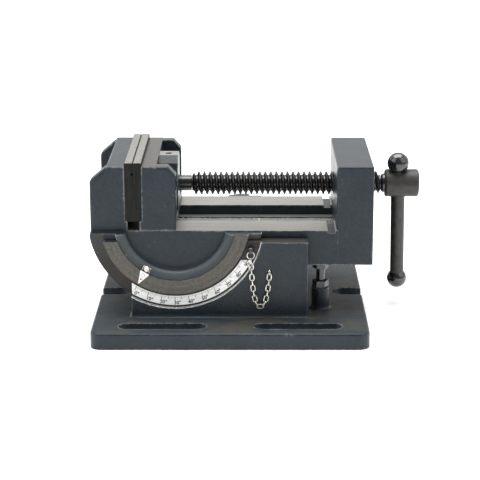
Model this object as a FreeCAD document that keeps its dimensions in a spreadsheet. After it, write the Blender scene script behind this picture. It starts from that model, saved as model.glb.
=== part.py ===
import FreeCAD
import Part
import Sketcher
import math
import os
import re

# Tilting machine vise: a vise body with two half-round webs rocks in a cradle base.
# Row frame: origin at the centre of the base's underside, +X towards the handle, +Z up.
# The vise body's own pieces are drawn about the tilt centre and moved there by their Placement.

Vector = FreeCAD.Vector
doc = FreeCAD.newDocument("tilting_vise")
sheet = doc.addObject("Spreadsheet::Sheet", "Sizes")

SIZES = [
    # cradle base
    ("base_length", 191.2, "base plate along X"),
    ("base_width", 200.0, "base plate along Y"),
    ("plate_thick", 11.5, "base plate thickness"),
    ("plate_corner", 8.0, "radius of the plate's four corners"),
    ("plate_edge", 1.6, "rounding of the plate's top edge"),
    ("tilt_x", -38.3, "tilt centre along X"),
    ("tilt_height", 79.6, "tilt centre above the underside"),
    ("wall_left", -30.8, "left end of a cradle wall, from the tilt centre"),
    ("wall_right", 92.2, "right end of a cradle wall, from the tilt centre"),
    ("wall_top", -13.8, "top of a cradle wall, from the tilt centre"),
    ("wall_inner", 51.5, "inner face of a cradle wall"),
    ("wall_outer", 63.5, "outer face of a cradle wall"),
    ("wall_foot", 2.4, "fillet where a wall meets the plate"),
    ("band_radius", 61.3, "machined band on a wall's outer face"),
    ("band_depth", 2.7, "depth of the machined band"),
    ("slot_length", 61.0, "fixing slot, end to end"),
    ("slot_width", 13.0, "fixing slot width"),
    ("slot_pitch_x", 93.5, "fixing slots, centre to centre along X"),
    ("slot_pitch_y", 165.4, "fixing slots, centre to centre along Y"),
    ("end_slot_width", 17.5, "open slot in each end of the plate"),
    ("end_slot_depth", 22.0, "depth of each open end slot"),
    ("stop_x", 101.9, "stop screw, from the tilt centre"),
    ("stop_y", -40.5, "stop screw across the base"),
    ("stop_gap", 0.7, "clearance between the stop screw and the beam"),
    ("boss_radius", 6.3, "stop screw boss"),
    ("boss_height", 15.9, "stop screw boss above the plate"),
    ("pin_ring_radius", 55.7, "index holes, from the tilt centre"),
    ("pin_angle", 70.2, "index pin, degrees from straight down"),
    ("pin_radius", 2.0, "index pin"),
    ("pin_end_radius", 1.5, "index pin's thinner end, which carries the ring"),
    ("pin_eye", 0.2, "cross hole for the ring, below the pin's axis"),
    ("pin_ring_bend", 2.5, "bend radius of the pin's ring"),
    ("pin_ring_wire", 0.4, "wire radius of the pin's ring"),
    ("eye_x", 65.4, "chain eye, from the tilt centre"),
    ("eye_z", -34.6, "chain eye, from the tilt centre"),
    ("lock_angle", 10.0, "tilt lock bolt, degrees from straight down"),
    # vise body
    ("run_gap", 0.3, "clearance between the rocking webs and the cradle"),
    ("fit_gap", 0.05, "radial clearance of a shaft in its hole"),
    ("face_gap", 0.1, "clearance between flat sliding faces"),
    ("jaw_half", 50.8, "half of the jaw width"),
    ("body_left", -59.6, "left end of the body"),
    ("body_right", 138.1, "right end of the body"),
    ("bed_top", -8.5, "top of the rails"),
    ("bed_bottom", -23.2, "underside of the bed's floor"),
    ("beam_bottom", -33.5, "underside of the body's beam"),
    ("beam_inner", 36.8, "inner face of the beam's sides"),
    ("web_radius", 60.9, "half-round web"),
    ("web_face", 56.5, "outer face of a web"),
    ("web_inner", 43.8, "inner face of a web"),
    ("ledge", -9.3, "flat top of a web"),
    ("ring_radius", 51.9, "machined bearing ring, outside"),
    ("ring_inner", 42.2, "machined bearing ring, inside"),
    ("ring_face", 61.8, "outer face of the bearing ring"),
    ("ring_cut", -13.9, "flat end of the bearing ring on the left"),
    ("lip_inner", 36.0, "painted lip inside the ring"),
    ("lip_face", 59.6, "outer face of the painted lip"),
    ("beam_left", -20.0, "left end of the beam's sides"),
    ("rib_left", 30.0, "cross rib between the webs, left face"),
    ("rib_right", 38.0, "cross rib between the webs, right face"),
    ("rib_bottom", -51.0, "cross rib, underside"),
    ("rib_top", -36.0, "cross rib, top"),
    ("rail_inner", 22.8, "half of the channel width"),
    ("shelf_drop", 7.2, "upper shelf below the rails"),
    ("shelf_half", 16.1, "half of the lower floor's width"),
    ("floor_drop", 8.4, "lower floor below the rails"),
    ("keeper_slot_half", 5.0, "half of the slot through the floor"),
    ("keeper_slot_left", -24.0, "left end of the slot through the floor"),
    ("keeper_slot_right", 108.0, "right end of the slot through the floor"),
    ("rail_end", 106.5, "right end of the rails"),
    ("relief_drop", 2.0, "cast relief past the rails"),
    ("jaw_top", 36.9, "top of the jaw castings"),
    ("cheek_thick", 10.0, "side cheek of a jaw"),
    ("fixed_back", -47.6, "back of the fixed jaw's wall"),
    ("fixed_chamfer_drop", 10.0, "height of the fixed jaw's corner chamfer"),
    ("fixed_seat", -35.3, "seat of the fixed plate"),
    ("jaw_plane", -29.35, "plane where the jaw plates meet"),
    ("moving_seat", -23.4, "seat of the moving plate"),
    ("plate_top", 39.6, "top of the jaw plates"),
    ("plate_bottom", -2.0, "bottom of the jaw plates"),
    ("plate_screw_y", 32.0, "jaw plate screws, from the middle plane"),
    ("step_out", 1.7, "how far a casting stands out under its plate"),
    ("block_left", 112.4, "left face of the screw block"),
    ("block_edge", 1.4, "rounding of the screw block"),
    ("cheek_edge", 2.0, "rounding of a cheek's outer edges"),
    # moving jaw
    ("moving_back", -13.3, "back of the moving jaw's wall"),
    ("moving_right", 0.4, "right end of the cheeks and boss"),
    ("moving_floor", -2.5, "top of the moving jaw's foot"),
    ("boss_half", 15.0, "half of the screw boss's width"),
    ("boss_flat", 7.0, "half of the boss's flat top"),
    ("boss_top", 35.8, "top of the boss"),
    ("boss_shoulder", 31.0, "lower edge of the boss's sloping shoulder"),
    ("neck_half", 4.6, "half of the neck in the floor slot"),
    ("neck_left", -20.4, "left end of the neck"),
    ("neck_right", -1.4, "right end of the neck"),
    ("keeper_left", -22.4, "left end of the keeper plate"),
    ("keeper_right", 0.6, "right end of the keeper plate"),
    ("keeper_half", 15.0, "half of the keeper plate's width"),
    ("keeper_thick", 6.0, "keeper plate thickness"),
    # screw and handle
    ("screw_z", 13.8, "screw axis, from the tilt centre"),
    ("thread_radius", 8.6, "outside radius of the thread"),
    ("thread_root", 5.9, "root radius of the thread"),
    ("thread_pitch", 4.0, "thread pitch"),
    ("thread_start", 10.0, "first thread"),
    ("thread_end", 146.0, "last thread"),
    ("journal_radius", 5.7, "plain journal in the moving jaw"),
    ("journal_left", -11.6, "left end of the journal"),
    ("groove_radius", 4.0, "neck that the retaining screw catches"),
    ("groove_x", -6.7, "middle of that neck"),
    ("head_left", 149.2, "left end of the handle head"),
    ("head_right", 173.6, "right end of the handle head"),
    ("head_radius", 10.0, "handle head"),
    ("stub_radius", 7.0, "end of the screw inside the head"),
    ("bar_x", 158.9, "handle bar, from the tilt centre"),
    ("bar_radius", 5.0, "handle bar"),
    ("bar_lean", 8.0, "lean of the handle bar to the front, in degrees"),
    ("bar_tilt", 1.2, "lean of the handle bar to the left, in degrees"),
    ("top_ball", 15.2, "upper ball's centre from the screw axis"),
    ("low_ball", 75.3, "lower ball's centre from the screw axis"),
    ("top_ball_radius", 7.8, "upper ball"),
    ("low_ball_radius", 7.3, "lower ball"),
    # small parts
    ("scale_inner", 53.0, "inner edge of the angle scale"),
    ("scale_outer", 59.6, "outer edge of the angle scale"),
    ("scale_thick", 0.5, "angle scale thickness"),
    ("scale_top", -27.0, "flat right end of the angle scale"),
    ("pointer_angle", -30.8, "pointer, degrees from straight down"),
    ("pointer_screw_radius", 39.2, "pointer screw, from the tilt centre"),
]

for row, (alias, value, meaning) in enumerate(SIZES, start=1):
    sheet.set(f"A{row}", meaning)
    sheet.set(f"B{row}", str(value))
    sheet.setAlias(f"B{row}", alias)
doc.recompute()
ALIASES = {alias for alias, value, meaning in SIZES}


def size(alias):
    """The number in one cell of the sheet."""
    return float(sheet.get(alias))


def cells(expression):
    """An expression in plain aliases, written with the sheet's name before each of them."""
    return re.sub(r"[a-z_]+", lambda word: "Sizes." + word[0] if word[0] in ALIASES else word[0],
                  str(expression))


def bind(thing, **formulas):
    """Bind properties of a thing to expressions on the sheet."""
    for prop, formula in formulas.items():
        thing.setExpression(prop, cells(formula))


def place(thing, x=0, y=0, z=0):
    """Bind a thing's position to expressions on the sheet."""
    for axis, formula in zip("xyz", (x, y, z)):
        thing.setExpression("Placement.Base." + axis, cells(formula))


# ---- building blocks: every size is an expression on the sheet ----

def box(name, x, y, z):
    """A box between two expressions on each axis."""
    block = doc.addObject("Part::Box", name)
    for prop, (low, high) in (("Length", x), ("Width", y), ("Height", z)):
        block.setExpression(prop, cells(f"({high}) - ({low})"))
    place(block, x[0], y[0], z[0])
    return block


TURNED_TO = {"x": Vector(1, 0, 0), "y": Vector(0, 1, 0), "z": Vector(0, 0, 1)}


def rod(name, radius, along, start, end, across):
    """A cylinder along one axis, from start to end; across gives its other two coordinates."""
    cylinder = doc.addObject("Part::Cylinder", name)
    rotation = FreeCAD.Rotation(Vector(0, 0, 1), TURNED_TO[along])
    cylinder.Placement = FreeCAD.Placement(Vector(), rotation)
    bind(cylinder, Radius=radius, Height=f"({end}) - ({start})")
    first, second = across
    corner = {"x": (start, first, second), "y": (first, start, second), "z": (first, second, start)}
    place(cylinder, *corner[along])
    return cylinder


def joined(name, pieces):
    """One solid from pieces that overlap."""
    union = doc.addObject("Part::MultiFuse", name)
    union.Shapes = pieces
    union.Refine = True
    return union


def carved(name, base, tools):
    """The base with the tools' shapes cut away."""
    cut = doc.addObject("Part::Cut", name)
    cut.Base = base
    cut.Tool = tools[0] if len(tools) == 1 else joined(name + "_tools", tools)
    cut.Refine = True
    return cut


def shared(name, first, second):
    """What two shapes have in common."""
    common = doc.addObject("Part::Common", name)
    common.Base = first
    common.Tool = second
    return common


def rounded(name, base, radius, wanted):
    """Fillet the edges of base that wanted() accepts."""
    doc.recompute()
    fillet = doc.addObject("Part::Fillet", name)
    fillet.Base = base
    edges = enumerate(base.Shape.Edges, start=1)
    fillet.Edges = [(number, radius, radius) for number, edge in edges if wanted(edge)]
    return fillet


def bevelled(name, base, width, wanted):
    """Chamfer the edges of base that wanted() accepts."""
    doc.recompute()
    chamfer = doc.addObject("Part::Chamfer", name)
    chamfer.Base = base
    edges = enumerate(base.Shape.Edges, start=1)
    chamfer.Edges = [(number, width, width) for number, edge in edges if wanted(edge)]
    return chamfer


def outline_sketch(body, plane_role, points):
    """A closed outline on one of the body's own planes, each corner bound to two expressions."""
    sketch = body.newObject("Sketcher::SketchObject", body.Name + "_outline")
    plane = [item for item in body.Origin.OriginFeatures if item.Role == plane_role][0]
    sketch.AttachmentSupport = [(plane, "")]
    sketch.MapMode = "FlatFace"
    probe = doc.addObject("App::FeaturePython", "probe")
    probe.addProperty("App::PropertyFloat", "value")
    corners = []
    for formulas in points:
        values = []
        for formula in formulas:
            probe.setExpression("value", cells(f"({formula}) * 1"))
            probe.recompute()
            values.append(probe.value)
        corners.append(Vector(values[0], values[1], 0))
    doc.removeObject("probe")
    count = len(corners)
    for number, corner in enumerate(corners):
        sketch.addGeometry(Part.LineSegment(corner, corners[(number + 1) % count]), False)
    for number in range(count):
        sketch.addConstraint(Sketcher.Constraint("Coincident", number, 2, (number + 1) % count, 1))
    for number, (corner, formulas) in enumerate(zip(corners, points)):
        for kind, value, formula in zip(("DistanceX", "DistanceY"), corner, formulas):
            if str(formula) == "0":
                axis = -2 if kind == "DistanceX" else -1
                sketch.addConstraint(Sketcher.Constraint("PointOnObject", number, 1, axis))
                continue
            index = sketch.addConstraint(Sketcher.Constraint(kind, -1, 1, number, 1, value))
            sketch.setExpression(f"Constraints[{index}]", cells(formula))
    return sketch


def prism(name, plane_role, points, start, end):
    """An outline padded from start to end along the plane's normal."""
    body = doc.addObject("PartDesign::Body", name)
    sketch = outline_sketch(body, plane_role, points)
    pad = body.newObject("PartDesign::Pad", name + "_pad")
    pad.Profile = sketch
    bind(pad, Length=f"({end}) - ({start})")
    # the XZ plane's normal is -Y, so its pads are reversed to grow towards +Y
    pad.Reversed = plane_role == "XZ_Plane"
    offset = {"XY_Plane": "z", "XZ_Plane": "y", "YZ_Plane": "x"}[plane_role]
    place(body, **{offset: start})
    return body


def turned(name, points):
    """A lathe piece about the X axis, from (x, radius) corners."""
    body = doc.addObject("PartDesign::Body", name)
    sketch = outline_sketch(body, "XY_Plane", points)
    lathe = body.newObject("PartDesign::Revolution", name + "_lathe")
    lathe.Profile = sketch
    lathe.ReferenceAxis = (sketch, ["H_Axis"])
    lathe.Angle = 360
    return body


def stood(name, thing, along, x, y, z):
    """A moved copy of a lathe piece: its +X axis turned to another direction, then placed."""
    copy = grouped(name, [thing])
    copy.Placement = FreeCAD.Placement(Vector(), FreeCAD.Rotation(Vector(1, 0, 0), along))
    place(copy, x, y, z)
    return copy


def grouped(name, pieces):
    """Separate solids kept together, so that the whole can be placed as one."""
    group = doc.addObject("Part::Compound", name)
    group.Links = pieces
    return group


def both_sides(name, maker):
    """The same piece made at the front (side -1) and at the rear (side 1)."""
    return [maker(f"{name}_{word}", side) for word, side in (("front", -1), ("rear", 1))]


def across(side, near, far):
    """The span between two distances from the middle plane, on one side of it."""
    return (near, far) if side > 0 else (f"-({far})", f"-({near})")


FINISHED = []


def named(node, thing, at_tilt_centre=True):
    """Give the finished sub-part its node name and its place in the row frame."""
    thing.Label = node
    if at_tilt_centre:
        place(thing, "tilt_x", 0, "tilt_height")
    FINISHED.append(thing)


def edge_box(edge):
    return edge.BoundBox


def is_upright(edge):
    """True for an edge that runs along Z."""
    bounds = edge_box(edge)
    return bounds.XLength < 0.01 and bounds.YLength < 0.01


def is_at(edge, axis, value):
    """True for an edge that lies in the plane where axis has this value."""
    bounds = edge_box(edge)
    low = getattr(bounds, axis + "Min")
    high = getattr(bounds, axis + "Max")
    return abs(low - value) < 0.02 and abs(high - value) < 0.02


def polar(radius, degrees):
    """X and Z, from the tilt centre, of a point at an angle from straight down, as expressions."""
    return f"({radius}) * sin({degrees} * 1deg)", f"-({radius}) * cos({degrees} * 1deg)"


# ---- base ----

def make_base():
    half_x = "base_length / 2"
    half_y = "base_width / 2"
    plate = box("base_plate", (f"-{half_x}", half_x), (f"-{half_y}", half_y), (0, "plate_thick"))
    plate = rounded("base_corners", plate, size("plate_corner"), is_upright)
    thick = size("plate_thick")
    plate = rounded("base_edge", plate, size("plate_edge"), lambda edge: is_at(edge, "Z", thick))

    def wall(name, side):
        low, high = across(side, "wall_inner", "wall_outer")
        slab = box(name, ("tilt_x + wall_left", "tilt_x + wall_right"), (low, high),
                   ("plate_thick - 1", "tilt_height + wall_top"))
        return rounded(name + "_corners", slab, 1.2, is_upright)

    boss = rod("stop_boss", "boss_radius", "z", "plate_thick - 1", "plate_thick + boss_height",
               ("tilt_x + stop_x", "stop_y"))
    solid = joined("base_solid", [plate] + both_sides("cradle_wall", wall) + [boss])
    reach = size("wall_outer")

    def is_foot(edge):
        bounds = edge_box(edge)
        return is_at(edge, "Z", thick) and max(abs(bounds.YMin), abs(bounds.YMax)) < reach + 1

    solid = rounded("base_feet", solid, size("wall_foot"), is_foot)
    centre = ("tilt_x", "tilt_height")
    far = "wall_outer + 5"
    cutters = [rod("ring_cutter", "ring_radius + run_gap", "y", f"-({far})", far, centre),
               rod("web_cutter", "web_radius + run_gap", "y", "-(web_face + run_gap)",
                   "web_face + run_gap", centre)]

    def band(name, side):
        low, high = across(side, "wall_outer - band_depth", "wall_outer + 5")
        return rod(name, "band_radius", "y", low, high, centre)

    cutters += both_sides("band_cutter", band)
    for number, (along_x, along_y) in enumerate(((-1, -1), (1, -1), (-1, 1), (1, 1))):
        middle_x = f"{along_x} * slot_pitch_x / 2"
        middle_y = f"{along_y} * slot_pitch_y / 2"
        run = "(slot_length - slot_width) / 2"
        cutters.append(box(f"slot_{number}", (f"{middle_x} - {run}", f"{middle_x} + {run}"),
                           (f"{middle_y} - slot_width / 2", f"{middle_y} + slot_width / 2"),
                           (-1, "plate_thick + 1")))
        for sign in (-1, 1):
            cutters.append(rod(f"slot_{number}_end_{sign + 1}", "slot_width / 2", "z", -1,
                               "plate_thick + 1", (f"{middle_x} + {sign} * {run}", middle_y)))
    for number, sign in enumerate((-1, 1)):
        inner = f"{sign} * ({half_x} - end_slot_depth + end_slot_width / 2)"
        outer = f"{sign} * ({half_x} + 2)"
        span = (outer, inner) if sign < 0 else (inner, outer)
        cutters.append(box(f"end_slot_{number}", span,
                           ("-end_slot_width / 2", "end_slot_width / 2"), (-1, "plate_thick + 1")))
        cutters.append(rod(f"end_slot_{number}_round", "end_slot_width / 2", "z", -1,
                           "plate_thick + 1", (inner, 0)))
    pin_x, pin_z = polar("pin_ring_radius", "pin_angle")
    cutters.append(rod("pin_hole", "pin_radius + fit_gap", "y", "-wall_outer", "-wall_inner",
                       (f"tilt_x + {pin_x}", f"tilt_height + {pin_z}")))
    cutters.append(rod("eye_hole", 1.0, "y", "-wall_outer - 1", "-wall_outer + 6",
                       ("tilt_x + eye_x", "tilt_height + eye_z")))
    cutters.append(rod("eye_mouth", 1.8, "y", "-wall_outer - 1", "-wall_outer + 1.2",
                       ("tilt_x + eye_x", "tilt_height + eye_z")))
    lock_x, lock_z = polar("(ring_radius + web_radius) / 2", "lock_angle")
    cutters.append(rod("lock_hole", 3 + size("fit_gap"), "y", "wall_inner", "wall_outer",
                       (f"tilt_x + {lock_x}", f"tilt_height + {lock_z}")))
    cutters.append(rod("stop_hole", 3 + size("fit_gap"), "z", 3.5, "plate_thick + boss_height + 1",
                       ("tilt_x + stop_x", "stop_y")))
    named("base", carved("base", solid, cutters), at_tilt_centre=False)


# ---- vise body ----

def make_vise_body():
    jaw = "jaw_half"
    # the bed's lower left corner is cut off so that it stays within the webs' round
    bed = prism("bed", "XZ_Plane",
                [("body_left", "bed_top"), ("body_left", "bed_top - 3.2"),
                 ("body_left + 5.2", "bed_bottom"), ("block_left + 1", "bed_bottom"),
                 ("block_left + 1", "bed_top")], f"-{jaw}", jaw)
    block = box("screw_block", ("block_left", "body_right"), (f"-{jaw}", jaw),
                ("beam_bottom", "jaw_top"))
    block = rounded("screw_block_round", block, size("block_edge"), lambda edge: edge_box(edge).ZMax > 0)
    left_wall = prism("fixed_wall", "XZ_Plane",
                      [("fixed_back", "bed_top - 1"), ("fixed_seat + step_out", "bed_top - 1"),
                       ("fixed_seat + step_out", "plate_bottom"), ("fixed_seat", "plate_bottom"),
                       ("fixed_seat", "jaw_top"), ("fixed_back", "jaw_top")],
                      f"-({jaw})", jaw)

    def cheek(name, side):
        low, high = across(side, "jaw_half - cheek_thick", "jaw_half")
        panel = prism(name, "XZ_Plane",
                      [("body_left", "bed_top - 1"), ("fixed_seat - 1", "bed_top - 1"),
                       ("fixed_seat - 1", "jaw_top"), ("fixed_back", "jaw_top"),
                       ("body_left", "jaw_top - fixed_chamfer_drop")], low, high)
        outer = side * size("jaw_half")
        panel = rounded(name + "_corner", panel, 4.5,
                        lambda edge: edge_box(edge).YLength > 5 and edge_box(edge).XMax < -58
                        and edge_box(edge).ZMax > 0)
        return rounded(name + "_round", panel, size("cheek_edge"),
                       lambda edge: is_at(edge, "Y", outer) and edge_box(edge).XMax < -37)

    def side(name, side_sign):
        low, high = across(side_sign, "beam_inner", "jaw_half")
        return box(name, ("beam_left", "block_left + 1"), (low, high),
                   ("beam_bottom", "bed_bottom + 1"))

    def web(name, side_sign):
        disc = rod(name + "_disc", "web_radius", "y", *across(side_sign, "web_inner", "web_face"),
                   ("0", "0"))
        room = box(name + "_room", ("body_left", "web_radius + 5"),
                   across(side_sign, "web_inner - 1", "ring_face + 1"), ("-web_radius - 5", "ledge"))
        hollow = rod(name + "_hollow", "lip_inner", "y",
                     *across(side_sign, "jaw_half", "ring_face + 1"), ("0", "0"))
        lip = rod(name + "_lip", "ring_inner + 0.5", "y",
                  *across(side_sign, "web_face - 1", "lip_face"), ("0", "0"))
        ring = rod(name + "_ring", "ring_radius", "y",
                   *across(side_sign, "web_face - 1", "ring_face"), ("0", "0"))
        ring_eye = rod(name + "_ring_eye", "ring_inner", "y",
                       *across(side_sign, "web_face - 2", "ring_face + 1"), ("0", "0"))
        ring_end = box(name + "_ring_end", ("body_left", "0"),
                       across(side_sign, "web_face", "ring_face + 1"), ("ring_cut", "ledge + 1"))
        proud = carved(name + "_proud", ring, [ring_eye, ring_end])
        whole = joined(name + "_whole", [disc, lip, proud])
        whole = carved(name + "_dished", whole, [hollow])
        half = shared(name + "_half", whole, room)
        edge_radius = size("lip_inner")

        def is_lip(edge, depth):
            if edge.Curve.TypeId != "Part::GeomCircle" or not is_at(edge, "Y", side_sign * depth):
                return False
            return abs(edge.Curve.Radius - edge_radius) < 0.01

        half = rounded(name + "_lip_round", half, 5.6, lambda edge: is_lip(edge, size("lip_face")))
        return rounded(name, half, 1.2, lambda edge: is_lip(edge, size("jaw_half")))

    rib = box("cross_rib", ("rib_left", "rib_right"), ("-web_inner - 1", "web_inner + 1"),
              ("rib_bottom", "rib_top"))
    solid = joined("vise_solid", [bed, block, left_wall, rib] + both_sides("fixed_cheek", cheek)
                   + both_sides("beam_side", side) + both_sides("web", web))
    shelf = box("shelf_cutter", ("fixed_seat + step_out", "block_left"),
                ("-rail_inner", "rail_inner"), ("bed_top - shelf_drop", "bed_top + 2"))
    floor = box("floor_cutter", ("fixed_seat + step_out", "block_left"),
                ("-shelf_half", "shelf_half"), ("bed_top - floor_drop", "bed_top"))
    keeper_slot = box("keeper_slot", ("keeper_slot_left", "keeper_slot_right"),
                      ("-keeper_slot_half", "keeper_slot_half"), ("bed_bottom - 1", "bed_top"))
    relief = box("relief_cutter", ("rail_end", "block_left - 1"), ("-jaw_half - 1", "jaw_half + 1"),
                 ("bed_top - relief_drop", "bed_top + 1"))
    nut_bore = rod("nut_bore", "thread_radius + 0.2", "x", "block_left - 1", "body_right + 1",
                   ("0", "screw_z"))
    cutters = [shelf, floor, keeper_slot, relief, nut_bore]
    for word, across_y in (("front", "-plate_screw_y"), ("rear", "plate_screw_y")):
        cutters.append(rod(f"fixed_tap_{word}", 3.0, "x", "fixed_back - 1", "fixed_seat + 1",
                           (across_y, "screw_z")))
    pointer_x, pointer_z = polar("pointer_screw_radius", "pointer_angle")
    cutters.append(rod("pointer_tap", 1.0, "y", "-lip_face - 1", "-lip_face + 5",
                       (pointer_x, pointer_z)))
    for step in range(0, 105, 15):
        hole_x, hole_z = polar("pin_ring_radius", f"(pin_angle - {step})")
        cutters.append(rod(f"index_hole_{step}", "pin_radius + 0.1", "y", "-web_face - 1",
                           "-web_inner + 1", (hole_x, hole_z)))
    named("vise_body", carved("vise_body", solid, cutters))


# ---- jaw plates ----

def make_plates():
    def plate(name, low, high):
        slab = box(name, (low, high), ("-jaw_half", "jaw_half"), ("plate_bottom", "plate_top"))
        return bevelled(name + "_edges", slab, 0.4, lambda edge: edge_box(edge).YLength > 1)

    def screw_seats(name, face, back, head_side):
        seats = []
        for word, across_y in (("front", "-plate_screw_y"), ("rear", "plate_screw_y")):
            seats.append(rod(f"{name}_hole_{word}", 3.2, "x", f"{back} - 1", f"{back} + 8",
                             (across_y, "screw_z")))
            head = (f"{face} - 3.5", f"{face} + 1") if head_side > 0 else (f"{face} - 1", f"{face} + 3.5")
            seats.append(rod(f"{name}_seat_{word}", 5.2, "x", *head, (across_y, "screw_z")))
        return seats

    fixed_face = "jaw_plane - face_gap"
    fixed = plate("fixed_slab", "fixed_seat", fixed_face)
    upright = prism("upright_vee", "XY_Plane",
                    [(fixed_face + " - 1.6", "0"), (fixed_face + " + 1", "-2.6"),
                     (fixed_face + " + 1", "2.6")], "plate_bottom - 1", "plate_top + 1")
    level = prism("level_vee", "XZ_Plane",
                  [(fixed_face + " - 1.4", "plate_top - 8"), (fixed_face + " + 1", "plate_top - 10.4"),
                   (fixed_face + " + 1", "plate_top - 5.6")], "-jaw_half - 1", "jaw_half + 1")
    named("fixed_jaw_plate", carved("fixed_jaw_plate", fixed, [upright, level]
                                    + screw_seats("fixed", fixed_face, "fixed_seat", 1)))
    moving_face = "jaw_plane + face_gap"
    moving = plate("moving_slab", moving_face, "moving_seat")
    named("moving_jaw_plate", carved("moving_jaw_plate", moving,
                                     screw_seats("moving", moving_face, "moving_seat - 7", -1)))


def cap_screw(name, length):
    """A socket-head cap screw about X: head from 0 to 3.2, shank after it."""
    body = turned(name, [("0", "0"), ("0", "4.6"), ("0.4", "5"), ("3.2", "5"), ("3.2", "3"),
                         (str(length), "3"), (str(length), "0")])
    socket = prism(name + "_socket", "YZ_Plane",
                   [(f"{2.9 * math.cos(math.radians(60 * turn)):.4f}",
                     f"{2.9 * math.sin(math.radians(60 * turn) + 0.001):.4f}") for turn in range(6)],
                   "-1", "2")
    return carved(name + "_cut", body, [socket])


def make_plate_screws():
    fixed = [stood(f"fixed_screw_{number}", cap_screw(f"fixed_cap_{number}", 16), Vector(-1, 0, 0),
                   "jaw_plane - face_gap - 0.3", across_y, "screw_z")
             for number, across_y in enumerate(("-plate_screw_y", "plate_screw_y"))]
    moving = [stood(f"moving_screw_{number}", cap_screw(f"moving_cap_{number}", 14), Vector(1, 0, 0),
                    "jaw_plane + face_gap + 0.3", across_y, "screw_z")
              for number, across_y in enumerate(("-plate_screw_y", "plate_screw_y"))]
    for node, screws in (("fixed_plate_screws", fixed), ("moving_plate_screws", moving)):
        named(node, grouped(node, screws))


# ---- moving jaw ----

def make_moving_jaw():
    foot_z = "bed_top + face_gap"
    wall = prism("moving_wall", "XZ_Plane",
                 [("moving_seat - step_out", foot_z), ("moving_back", foot_z),
                  ("moving_back", "jaw_top"), ("moving_seat", "jaw_top"),
                  ("moving_seat", "plate_bottom"), ("moving_seat - step_out", "plate_bottom")],
                 "-jaw_half", "jaw_half")

    def cheek(name, side):
        low, high = across(side, "jaw_half - cheek_thick", "jaw_half")
        panel = prism(name, "XZ_Plane",
                      [("moving_back - 1", foot_z), ("moving_right", foot_z),
                       ("moving_right", "jaw_top - 6"), ("moving_right - 5.5", "jaw_top"),
                       ("moving_back - 1", "jaw_top")], low, high)
        outer = side * size("jaw_half")
        panel = rounded(name + "_corner", panel, 1.8,
                        lambda edge: edge_box(edge).YLength > 5 and edge_box(edge).XMin > -6
                        and edge_box(edge).ZMax > 20)
        return rounded(name + "_round", panel, size("cheek_edge"),
                       lambda edge: is_at(edge, "Y", outer) and edge_box(edge).XMin > -6)

    foot = box("moving_foot", ("moving_back - 1", "moving_right"), ("-jaw_half + 1", "jaw_half - 1"),
               (foot_z, "moving_floor"))
    boss = prism("moving_boss", "YZ_Plane",
                 [("-boss_half", foot_z), ("boss_half", foot_z), ("boss_half", "boss_shoulder - 6"),
                  ("boss_half - 2", "boss_shoulder"), ("boss_flat", "boss_top"),
                  ("-boss_flat", "boss_top"), ("-boss_half + 2", "boss_shoulder"),
                  ("-boss_half", "boss_shoulder - 6")], "moving_back - 1", "moving_right")
    tongue = box("jaw_tongue", ("moving_seat", "moving_right - 0.5"),
                 ("-shelf_half + 0.3", "shelf_half - 0.3"),
                 ("bed_top - shelf_drop + 0.3", "bed_top + 1"))
    neck = box("jaw_neck", ("neck_left", "neck_right"), ("-neck_half", "neck_half"),
               ("bed_bottom - face_gap", "bed_top - shelf_drop + 1"))
    solid = joined("moving_solid", [wall, foot, boss, tongue, neck]
                   + both_sides("moving_cheek", cheek))
    cutters = [rod("journal_bore", "journal_radius + fit_gap", "x", "journal_left - 0.3",
                   "moving_right + 1", ("0", "screw_z")),
               rod("retaining_hole", 2.5, "z", "screw_z", "boss_top + 1", ("groove_x", "0"))]
    for word, across_y in (("front", "-plate_screw_y"), ("rear", "plate_screw_y")):
        cutters.append(rod(f"moving_tap_{word}", 3.0, "x", "moving_seat - 3", "moving_back + 1",
                           (across_y, "screw_z")))
    for word, along_x in (("left", "neck_left + 5"), ("right", "neck_right - 5")):
        cutters.append(rod(f"keeper_tap_{word}", 2.5, "z", "bed_bottom - 2", "bed_top + 4",
                           (along_x, "0")))
    named("moving_jaw", carved("moving_jaw", solid, cutters))


def make_keeper():
    top = "bed_bottom - face_gap"
    plate = box("keeper_slab", ("keeper_left", "keeper_right"), ("-keeper_half", "keeper_half"),
                (f"{top} - keeper_thick", top))
    plate = bevelled("keeper_edges", plate, 0.8, lambda edge: not is_upright(edge))
    holes = [rod(f"keeper_hole_{word}", 2.6, "z", f"{top} - keeper_thick - 1", f"{top} + 1",
                 (along_x, "0")) for word, along_x in (("left", "neck_left + 5"),
                                                      ("right", "neck_right - 5"))]
    named("jaw_keeper_plate", carved("jaw_keeper_plate", plate, holes))
    screws = []
    for number, along_x in enumerate(("neck_left + 5", "neck_right - 5")):
        lathe = turned(f"keeper_cap_{number}",
                       [("0", "0"), ("0", "4"), ("0.4", "4.3"), ("4", "4.3"), ("4", "2.5"),
                        ("24", "2.5"), ("24", "0")])
        screws.append(stood(f"keeper_screw_{number}", lathe, Vector(0, 0, 1), along_x, "0",
                            f"{top} - keeper_thick - 4"))
    named("keeper_screws", grouped("keeper_screws", screws))
    grub = turned("grub_lathe", [("0", "0"), ("0", "1.5"), ("2.6", "1.5"), ("2.6", "2.4"),
                                 ("9.6", "2.4"), ("9.6", "0")])
    upright = stood("grub_stood", grub, Vector(0, 0, 1), "groove_x", "0",
                    "screw_z + groove_radius + 0.2")
    named("jaw_retaining_screw", grouped("jaw_retaining_screw", [upright]))


# ---- lead screw and handle ----

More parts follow.
